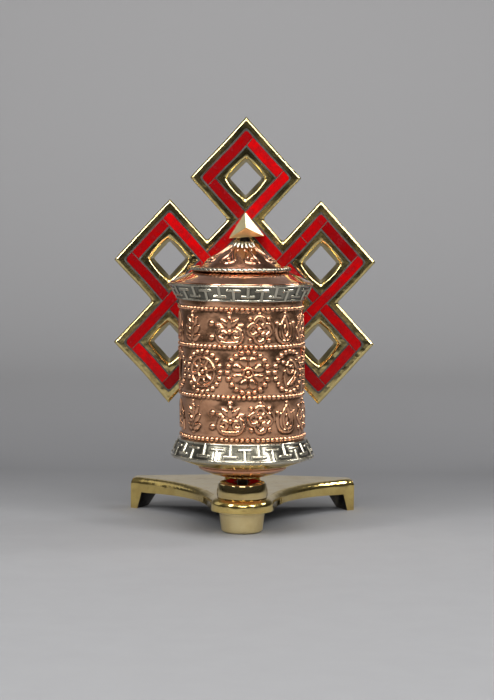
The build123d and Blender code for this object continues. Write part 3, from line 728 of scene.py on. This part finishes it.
cone_radius, cone_bottom, cone_top = span("bottom_cone")
dish_radius, dish_bottom, dish_top = span("bottom_dish")
ball_radius, ball_bottom, ball_top = span("drum_collar")
turned(
    "closing_cone",
    softened_outline([
        (dish_radius - 1.6, cone_bottom + 0.1, 0.2), (dish_radius + 0.2, cone_bottom, 0.4),
        (cone_radius - 0.6, cone_top - 0.9, 0.6), (cone_radius, cone_top - 0.1, 0.2),
        (cone_radius - 1.0, cone_top, 0.2), (dish_radius - 1.4, cone_bottom + 0.9, 0.4),
    ]),
    turned_brass, "drum", "cast_brass", ["bottom_cone"], 320,
)
turned(
    "closing_dish",
    softened_outline([
        (axle_radius + 0.02, dish_bottom, 0), (12.6, dish_bottom, 2.4),
        (dish_radius - 0.5, dish_top - 1.5, 2.2), (dish_radius, dish_top - 0.2, 0.2),
        (dish_radius - 0.9, dish_top, 0.2), (12.0, dish_bottom + 0.9, 1.4),
        (axle_radius + 0.02, dish_bottom + 0.8, 0),
    ]),
    smooth_copper, "drum", "drum_copper", ["bottom_dish"], 320,
)


def beaded_collar(name):
    """Brass washer on the axle whose rim is cut into beads."""
    columns, beads = 480, 14
    swell = np.abs(np.sin(beads / 2 * np.arange(columns) * TAU / columns)) ** 0.8
    level = (ball_bottom + ball_top) / 2
    half_thickness = (ball_top - ball_bottom) / 2
    hub = np.full(columns, axle_radius + 0.05)
    hub_half = half_thickness * 0.8
    radii, heights = [hub], [np.full(columns, level - hub_half)]
    for turn in np.radians(np.linspace(-90, 90, 11)):
        radii.append(ball_radius - 1.9 + (0.3 + 1.6 * cos(turn)) * swell)
        heights.append(level + half_thickness * sin(turn) * (0.55 + 0.45 * swell))
    radii.append(hub)
    heights.append(np.full(columns, level + hub_half))
    mesh = ring_mesh(name, round_points(np.array(radii), np.array(heights), columns))
    place_piece(name, mesh, turned_brass, "drum", ["drum_collar"], 60)


beaded_collar("beaded_collar")

# ---- foot and boss

foot_radius, _, foot_height = span("front_foot")
boss_radius, boss_bottom, boss_top = span("pivot_boss")
stud_radius, _, _ = span("boss_stud")
turned(
    "turned_foot",
    softened_outline([
        (stud_radius + 0.2, 0.0, 0), (foot_radius - 2.6, 0.0, 0.9), (foot_radius - 1.3, 0.8, 0.7),
        (foot_radius - 0.4, foot_height - 1.9, 0.5), (foot_radius, foot_height - 1.2, 0.4),
        (foot_radius - 0.1, foot_height - 0.35, 0.3), (foot_radius - 0.9, foot_height - 0.1, 0.2),
        (foot_radius - 0.9, foot_height, 0), (stud_radius + 0.2, foot_height, 0),
    ]),
    satin_brass_painted_light, "stand", "cast_brass", ["front_foot"],
)
boss_outline = [(axle_radius + 0.1, boss_bottom), (boss_radius - 0.6, boss_bottom)]
boss_outline += bow((boss_radius - 0.3, boss_bottom + 0.1), (boss_radius + 0.2, boss_bottom + 2.4),
                    (boss_radius - 0.6, boss_top - 1.0), 24)
boss_outline += bow((boss_radius - 0.62, boss_top - 0.9), (boss_radius - 0.8, boss_top),
                    (boss_radius - 1.7, boss_top - 0.05), 8)
boss_outline += [(axle_radius + 0.1, boss_top - 0.8)]
turned("turned_boss", boss_outline, turned_brass, "stand", "cast_brass", ["pivot_boss"])

# ---- cast pieces

# The endless knot: ten linked cells on a slanted grid. A place on it is given by p and q, which count the
# falling and rising strands, and a corner by the signs with which it moves as its outline grows.
cell_half_width, cell_half_height, knot_middle = 17.7, 19.45, 102.5
strand_pitch = 2 * cell_half_width * cell_half_height / hypot(cell_half_width, cell_half_height)
knot_cells = [(-1, -1), (-1, 0), (0, -1), (0, 0), (-1, 1), (-2, 0), (1, -1), (0, -2), (1, 1), (-2, -2)]
knot_low, knot_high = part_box("knot_plate")
knot_front, plate_thickness = knot_low.y / MM, 6.0
channel_half_width, channel_depth = 3.0, 1.8

# Hand filing leaves the knot a little uneven. Each pull is (x, z, reach, sideways, upwards).
knot_pulls = [
    (-35, 122, 15, -0.1, 0.8), (35, 122, 15, 0.6, -1.0), (0, 172, 13, 0.3, -0.7), (-44, 72, 14, 0.5, 0.5),
    (48, 90, 14, -0.4, 0.5), (-18, 150, 10, 0.3, -0.3), (16, 152, 10, 0.2, 0.4), (-52, 104, 12, 0.5, 0.2),
]


def pulled(x, z):
    """Where a point of the knot lies after filing, from its even place in millimetres."""
    moved_x, moved_z = x, z
    for pull_x, pull_z, reach, sideways, upwards in knot_pulls:
        share = math.exp(-((x - pull_x) ** 2 + (z - pull_z) ** 2) / reach**2)
        moved_x += share * sideways
        moved_z += share * upwards
    return moved_x, moved_z


def cell_corners(p, q):
    return [(p, -1, q, -1), (p + 1, 1, q, -1), (p + 1, 1, q + 1, 1), (p, -1, q + 1, 1)]


# Corners of the outer outline from the foot's tip up one side to the top's tip and down the other side.
half_outline = [
    (-2, -1, -2, -1), (-1, 1, -2, -1), (-1, 1, -1, -1), (0, -1, -1, -1), (0, -1, -2, -1), (1, 1, -2, -1),
    (1, 1, -1, -1), (2, 1, -1, -1), (2, 1, 0, 1), (1, 1, 0, 1), (1, 1, 1, -1), (2, 1, 1, -1),
]
mirrored = [(q, q_sign, p, p_sign) for p, p_sign, q, q_sign in half_outline]
outer_corners = half_outline + [(2, 1, 2, 1)] + mirrored[:0:-1]


def grown(corners, margin):
    """Corner places of an outline that is grown by margin."""
    grow = margin / strand_pitch
    places = []
    for p, p_sign, q, q_sign in corners:
        p, q = p + p_sign * grow, q + q_sign * grow
        places.append(Vector(((p - q) * cell_half_width, knot_middle + (p + q) * cell_half_height)))
    return places


def bowed(start, end, swell, count):
    """Points between start and end of a side that swells to its right by swell."""
    outward = (end - start).normalized().orthogonal() * -swell
    steps = [k / count for k in range(1, count)]
    return [tuple(start.lerp(end, t) + outward * (4 * t * (1 - t))) for t in steps]


def corners_with_sides(places):
    """Each corner of a closed outline with the corners before and after it, and whether it is a tip."""
    for before, here, after in zip(places[-1:] + places, places, places[1:] + places[:1]):
        yield before, here, after, (here - before).cross(after - here) > 0


def knot_loop(corners, margin, notch_rounding, tip_rounding, depth, swell=0.0):
    """Loop of points round an outline grown by margin, with rounded corners and bowed sides."""
    side_points, corner_points = 8, 7
    loop = []
    for before, here, after, is_tip in corners_with_sides(grown(corners, margin)):
        rounding = tip_rounding if is_tip else notch_rounding
        start = here + (before - here).normalized() * rounding
        end = here + (after - here).normalized() * rounding
        if loop:
            loop += bowed(Vector(loop[-1]), start, swell, side_points)
        loop += bow(tuple(start), tuple(here), tuple(end), corner_points)
    loop += bowed(Vector(loop[-1]), Vector(loop[0]), swell, side_points)
    return [(*pulled(x, z), knot_front + depth) for x, z in loop]


def rounded(solid, edges, width, segments, clamp=True):
    """Rounds edges over a width in millimetres."""
    bmesh.ops.bevel(solid, geom=edges, offset=width * MM, offset_type="OFFSET", segments=segments,
                    profile=0.5, affect="EDGES", clamp_overlap=clamp)


def cut_across(solid, axis, place, near):
    """Cuts a mesh at a place along an axis. Points nearer than near to the cut are taken as on it."""
    point, normal = [0.0] * 3, [0.0] * 3
    point[axis], normal[axis] = place * MM, 1.0
    everything = solid.verts[:] + solid.edges[:] + solid.faces[:]
    bmesh.ops.bisect_plane(solid, geom=everything, plane_co=point, plane_no=normal, dist=near * MM)


def knot_solid():
    """The knot plate from loops that follow its outer edge and its windows, with a floor in the channel."""
    # Levels from the channel's floor over the rim to the back. Each has its margin, the rounding of notches
    # and of tips, its depth behind the front and the swell of its sides.
    edge_levels = [
        (channel_half_width, 0.3, 1.7, channel_depth), (channel_half_width, 0.3, 1.7, 0.0),
        (4.6, 0.8, 0.7, -0.02), (5.15, 1.0, 0.5, 0.02), (5.55, 1.2, 0.5, 0.16), (5.85, 1.4, 0.5, 0.45),
        (6.08, 1.5, 0.5, 0.95), (6.2, 1.6, 0.5, 1.5), (6.25, 1.6, 0.5, 2.1),
        (6.25, 1.6, 0.5, plate_thickness - 0.4), (6.0, 1.6, 0.5, plate_thickness),
    ]
    window_levels = [
        (-channel_half_width, 0.3, 0.3, channel_depth), (-channel_half_width, 0.3, 0.3, 0.0),
        (-4.6, 1.2, 1.2, -0.02, 0.25), (-5.3, 1.6, 1.6, 0.03, 0.5), (-5.7, 1.8, 1.8, 0.2, 0.55),
        (-6.0, 1.8, 1.8, 0.55, 0.55), (-6.25, 1.7, 1.7, 1.1, 0.5), (-6.5, 1.6, 1.6, 1.8, 0.45),
        (-7.2, 1.2, 1.2, 4.2, 0.2), (-7.55, 0.9, 0.9, plate_thickness - 0.3),
        (-7.35, 0.9, 0.9, plate_thickness),
    ]
    points, faces, floor_loops, back_loops = [], [], [], []
    outlines = [(outer_corners, edge_levels)] + [(cell_corners(*cell), window_levels) for cell in knot_cells]
    for corners, levels in outlines:
        for level in levels:
            loop = knot_loop(corners, *level)
            first = len(points)
            points += loop
            here = list(range(first, first + len(loop)))
            if level is levels[0]:
                floor_loops.append(here)
            else:
                for k in range(len(loop)):
                    after = (k + 1) % len(loop)
                    faces.append((below[k], below[after], here[after], here[k]))
            below = here
        back_loops.append(below)
    for loops in (floor_loops, back_loops):
        flat = [[Vector((points[k][0], points[k][1], 0)) for k in loop] for loop in loops]
        numbers = [k for loop in loops for k in loop]
        faces += [tuple(numbers[k] for k in triangle) for triangle in tessellate_polygon(flat)]
    solid = bmesh.new()
    vertices = [solid.verts.new((x * MM, y * MM, z * MM)) for x, z, y in points]
    for face in faces:
        solid.faces.new([vertices[k] for k in face])
    # The foot that stands on the base behind the plate.
    wide, narrow, bottom, top = 9.0, 6.0, knot_low.z / MM, 33.0
    foot = [(-wide, bottom), (wide, bottom), (narrow, top), (-narrow, top)]
    front, back = (
        [solid.verts.new((x * MM, y, z * MM)) for x, z in foot] for y in (knot_low.y + 0.6 * MM, knot_high.y)
    )
    block = [solid.faces.new(front), solid.faces.new(back[::-1])]
    block += [solid.faces.new((front[k - 1], front[k], back[k], back[k - 1])) for k in range(4)]
    rounded(solid, list({edge for face in block for edge in face.edges}), 0.5, 3, clamp=False)
    bmesh.ops.recalc_face_normals(solid, faces=solid.faces)
    return solid


def uneven(solid):
    """Cuts a flat piece of the knot into strips, so that it can follow the uneven plate."""
    first_strip, strip = 1.7, 4.0
    for axis, low, high in ((0, knot_low.x, knot_high.x), (2, knot_low.z, knot_high.z)):
        for place in np.arange(low / MM + first_strip, high / MM, strip):
            cut_across(solid, axis, place, 0.02)
    for vertex in solid.verts:
        x, z = pulled(vertex.co.x / MM, vertex.co.z / MM)
        vertex.co.x, vertex.co.z = x * MM, z * MM


def round_tips(solid):
    """Rounds the outermost corners of stones, where the channel turns at a tip of the knot."""
    half_stone, tip_rounding = 2.25, 1.4
    outline = grown(outer_corners, half_stone)
    tips = [here for _, here, _, is_tip in corners_with_sides(outline) if is_tip]
    edges = []
    for edge in solid.edges:
        first, second = (vertex.co / MM for vertex in edge.verts)
        upright_to_plate = hypot(first.x - second.x, first.z - second.z) < 0.1
        if upright_to_plate and any(hypot(first.x - tip.x, first.z - tip.y) < 0.5 for tip in tips):
            edges.append(edge)
    if edges:
        rounded(solid, edges, tip_rounding, 4, clamp=False)


def lean_walls_back(solid):
    """Turns the upper part of upright walls a little upwards, more and more towards their top."""
    start, height, most = 10.5, 5.0, 0.3
    for level in np.linspace(start, start + 0.8 * height, 5):
        cut_across(solid, 2, level, 0.01)
    solid.normal_update()
    for vertex in solid.verts:
        outward = Vector((vertex.normal.x, vertex.normal.y, 0))
        share = (vertex.co.z / MM - start) / height
        if outward.length > 0.3 and share > 0:
            vertex.co -= outward.normalized() * most * share**2 * MM


def cast_piece(name, solid, material, node):
    """Places a piece of the stand so that its large faces look flat and its small ones look rounded."""
    mesh = bpy.data.meshes.new(name)
    solid.to_mesh(mesh)
    solid.free()
    piece = place_piece(name, mesh, material, "stand", [node])
    modifier = piece.modifiers.new("weighted", "WEIGHTED_NORMAL")
    modifier.keep_sharp = True
    graph = bpy.context.evaluated_depsgraph_get()
    evaluated = piece.evaluated_get(graph)
    piece.data = bpy.data.meshes.new_from_object(evaluated, preserve_all_data_layers=True, depsgraph=graph)
    piece.modifiers.clear()
    return piece


def sharp_edges(solid, degrees):
    return [edge for edge in solid.edges
            if len(edge.link_faces) == 2 and edge.calc_face_angle(0) > radians(degrees)]


def softened_copy(node, name, material, width, top_width=0.0, knot=False):
    """Copy of a CAD node with its arrises rounded, as filing and polishing leave them.

    width and top_width are how wide the rounding is at any sharp edge and at those of the top face."""
    solid = bmesh.new()
    solid.from_mesh(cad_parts[node].data)
    bmesh.ops.remove_doubles(solid, verts=solid.verts, dist=0.00001)
    bmesh.ops.dissolve_limit(solid, angle_limit=radians(1.0), verts=solid.verts, edges=solid.edges)
    if knot:
        round_tips(solid)
    if top_width:
        solid.normal_update()
        top = [e for e in sharp_edges(solid, 40) if any(face.normal.z > 0.9 for face in e.link_faces)]
        rounded(solid, top, top_width, 5)
    if width:
        rounded(solid, sharp_edges(solid, 32), width, 3)
    if knot:
        uneven(solid)
    if top_width:
        lean_walls_back(solid)
    return cast_piece(name, solid, material, node)


cast_base = softened_copy("base_plate", "cast_base", base_brass, 0.7, top_width=0.9)
# The underside and the inner sides of the legs get painted shade: their faces are marked to take the base
# brass's dark colour.
painted_shade_faces = cast_base.data.attributes.new("hollow", "FLOAT", "FACE")
leg_start, leg_height = 30.0, 16.0
for face, mark in zip(cast_base.data.polygons, painted_shade_faces.data):
    x, z = face.center.x / MM, face.center.z / MM
    inward = -face.normal.x * math.copysign(1.0, x)
    inner_side = abs(x) > leg_start and inward > 0.5 and z < leg_height
    mark.value = 1.0 if face.normal.z < -0.6 or inner_side else 0.0
cast_piece("endless_knot", knot_solid(), brass, "knot_plate")
arm = softened_copy("top_arm", "pointed_arm", arm_brass, 0.3)
# The arm sits a little twisted about its ridge.
ridge = Vector((0, 0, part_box("top_arm")[1].z))
twist = Matrix.Rotation(radians(-4.0), 4, "Y")
arm.data.transform(Matrix.Translation(ridge) @ twist @ Matrix.Translation(-ridge))
softened_copy("arm_washer", "washer", turned_brass, 0.15)
softened_copy("inlay_cement", "cement_bed", cement, 0, knot=True)
for inlay_node in [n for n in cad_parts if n.startswith("inlay_") and n != "inlay_cement"]:
    softened_copy(inlay_node, inlay_node + "_stones", red_stone, 0.16, knot=True)

# These CAD nodes keep their shape.
for material, nodes in (
    (dark_steel, ["axle", "boss_stud", "knot_screws", "arm_screw"]), (smooth_copper, ["lid_skirt"]),
    (wood, ["core_tube"]), (paper, ["mantra_roll"]), (cloth, ["roll_wrap", "roll_ties"]),
):
    for node in nodes:
        for material_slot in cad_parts[node].material_slots:
            material_slot.material = material

# ---- camera, backdrop and light

camera_data = bpy.data.cameras.new("camera")
camera_data.sensor_fit = "VERTICAL"
camera_data.sensor_height = 36.0
camera_data.lens = 107.1
camera_place, pitch_down, roll = (0.0015, -0.940, 0.157), 4.5, 0.6
camera = in_scene("camera", camera_data)
camera.matrix_world = (
    Matrix.Translation(camera_place)
    @ Matrix.Rotation(radians(90 - pitch_down), 4, "X")
    @ Matrix.Rotation(radians(roll), 4, "Z")
)
scene.camera = camera


def backdrop():
    """Seamless paper: a floor that bends up into a wall behind the object. Its colour carries painted shade
    and light: a painted shadow behind the object, painted light up the wall, and painted shade that darkens
    it in front and aside.
    """
    start, depth, bend, height, half_width = -3.4, 0.75, 0.6, 2.4, 3.2
    profile = [(start, 0.0), (depth, 0.0)]
    profile += arc((depth, bend), bend, 6 - 90, 0, 15)
    profile += [(depth + bend, height)]
    mesh = bpy.data.meshes.new("backdrop")
    points = [(side * half_width, y, z) for y, z in profile for side in (-1, 1)]
    faces = [(2 * k, 2 * k + 1, 2 * k + 3, 2 * k + 2) for k in range(len(profile) - 1)]
    mesh.from_pydata(points, [], faces)
    mesh.shade_smooth()
    material, tree, shader, place = new_material("grey_paper", 0.0)
    fibres = noise(tree, place, 60, 4)
    shade = mixed(tree, ramped(tree, fibres, 0.3, 0.7), (0.245, 0.245, 0.25), (0.255, 0.255, 0.26))
    x, inwards, _ = add(tree, "SeparateXYZ", Vector=place).outputs
    aside = computed(tree, "ABSOLUTE", x)
    # Each painted grey comes in between two places, up to a share: painted shadow behind, painted light up
    # the wall, painted shade in front and aside.
    for along, first, last, share, painted_grey in (
        (inwards, -0.02, 0.2, 0.9, (0.14, 0.14, 0.145)),
        (inwards, 0.2, 1.3, 1.0, (0.45, 0.445, 0.45)),
        (inwards, -0.40, -0.80, 0.92, (0.045, 0.045, 0.045)),
        (aside, 0.34, 0.85, 0.8, (0.08, 0.08, 0.08)),
    ):
        shade = mixed(tree, ramped(tree, along, first, last, 0.0, share), shade, painted_grey)
    tree.links.new(shade, shader.inputs["Base Color"])
    shader.inputs["Roughness"].default_value = 0.75
    shader.inputs["Specular IOR Level"].default_value = 0.2
    mesh.materials.append(material)
    in_scene("backdrop", mesh)


backdrop()


def softbox(name, place, width, height, power, aim=(0, 0.02, 0.09)):
    """Rectangular studio light with its power in watts, aimed at the middle of the object or at aim."""
    data = bpy.data.lights.new(name, "AREA")
    data.shape = "RECTANGLE"
    data.size = width
    data.size_y = height
    data.energy = power
    turn = (Vector(aim) - Vector(place)).to_track_quat("-Z", "Y")
    in_scene(name, data).matrix_world = Matrix.Translation(place) @ turn.to_matrix().to_4x4()


softbox("overhead", (0.0, -0.50, 1.08), 0.8, 0.5, 11.0)
softbox("front", (0.0, -1.3, 0.78), 0.6, 0.3, 6.2)
softbox("left", (-0.62, -0.62, 0.66), 0.20, 0.42, 4.8)
softbox("right", (0.62, -0.62, 0.66), 0.20, 0.40, 3.9)
softbox("right_behind", (0.82, 0.26, 0.68), 0.27, 0.27, 3.4)
softbox("left_behind", (-0.85, 0.35, 0.45), 0.60, 0.60, 0.5)
softbox("wall", (0.0, 0.2, 1.5), 1.6, 0.3, 5, aim=(0.0, 1.35, 0.9))

world = bpy.data.worlds.new("studio")
world.use_nodes = True
scene.world = world
world_tree = world.node_tree
sky = world_tree.nodes["Background"]
direction = add(world_tree, "TexCoord").outputs["Generated"]
upward = add(world_tree, "SeparateXYZ", Vector=direction).outputs["Z"]
glow = ramped(world_tree, upward, -0.1, 0.9)
world_tree.links.new(mixed(world_tree, glow, (0.03, 0.03, 0.03), (0.42, 0.42, 0.43)), sky.inputs["Color"])
sky.inputs["Strength"].default_value = 0.3

scene.view_settings.view_transform = "Standard"
scene.view_settings.look = "None"
